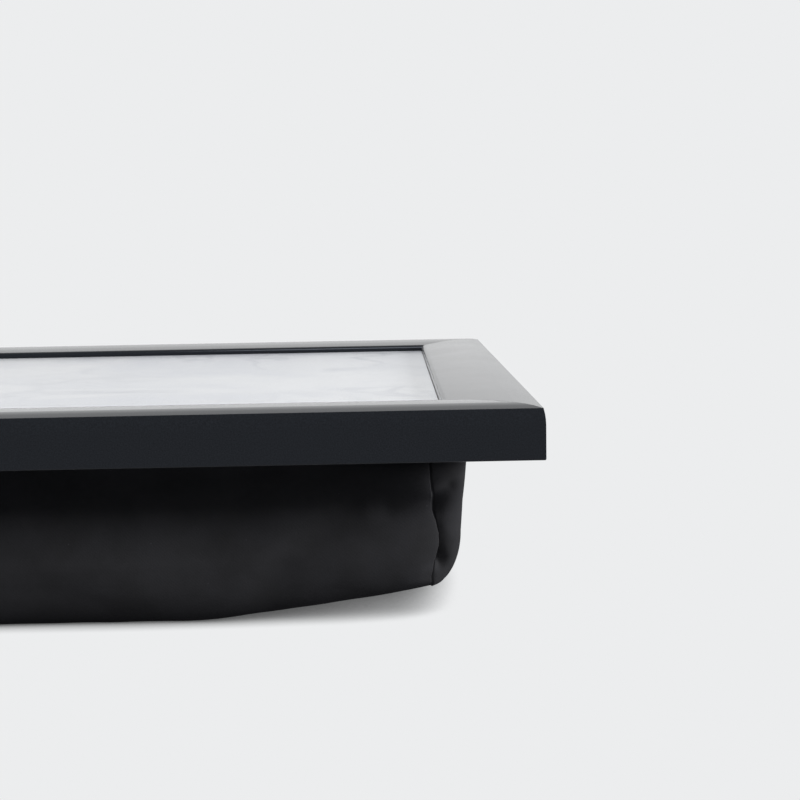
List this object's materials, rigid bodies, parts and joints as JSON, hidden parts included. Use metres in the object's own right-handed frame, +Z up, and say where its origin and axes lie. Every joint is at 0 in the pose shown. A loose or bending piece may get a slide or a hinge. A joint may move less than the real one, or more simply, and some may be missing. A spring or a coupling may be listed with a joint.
{
  "type": "lap tray with cushion",
  "caption": "Rectangular lap tray: black mitred frame round a recessed white marble-print board, on a removable black bead cushion with a zipped cover.",
  "frame": {"origin": "on the floor, under the centre of the tray", "axes": "+X to the tray's right along its long side, +Y to its back, +Z up"},
  "size_m": [0.44, 0.34, 0.0846],
  "materials": {
    "painted_frame": "satin",
    "spring_steel": "satin",
    "marble_laminate": "satin",
    "raw_board": "matte",
    "hook_tape": "matte",
    "loop_tape": "matte",
    "cover_cloth": "matte",
    "bag_cloth": "matte",
    "beads": "matte",
    "zip_tape": "matte",
    "zip_coil": "satin",
    "zip_metal": "satin"
  },
  "bodies": {
    "tray": {"frame_rail_front": "painted_frame", "frame_rail_back": "painted_frame", "frame_rail_left": "painted_frame", "frame_rail_right": "painted_frame", "corner_v_nails": "spring_steel", "board_tabs": "spring_steel", "marble_laminate": "marble_laminate", "tray_board": "raw_board", "hook_strip_front": "hook_tape", "hook_strip_back": "hook_tape", "hook_strip_left": "hook_tape", "hook_strip_right": "hook_tape"},
    "cushion": {"loop_strip_front": "loop_tape", "loop_strip_back": "loop_tape", "loop_strip_left": "loop_tape", "loop_strip_right": "loop_tape", "cushion_cover": "cover_cloth", "cushion_top_panel": "cover_cloth", "bead_bag": "bag_cloth", "bead_fill": "beads", "zip_tape_upper": "zip_tape", "zip_tape_lower": "zip_tape", "zip_coil": "zip_coil", "zip_stops": "zip_metal"},
    "zip_slider": {"zip_slider": "zip_metal"},
    "zip_pull": {"zip_pull": "zip_metal"}
  },
  "joints": [
    {"name": "cushion_pull_off", "type": "slide", "parent": "tray", "child": "cushion", "axis": [0, 0, -1], "range_m": [0, 0.09]},
    {"name": "zip_slide", "type": "slide", "parent": "cushion", "child": "zip_slider", "axis": [-1, 0, 0], "range_m": [0, 0.21]},
    {"name": "zip_pull_swing", "type": "hinge", "parent": "zip_slider", "child": "zip_pull", "pos_m": [0.1053, 0.1496, 0.037], "axis": [0, 0, -1], "range_deg": [0, 180]}
  ]
}
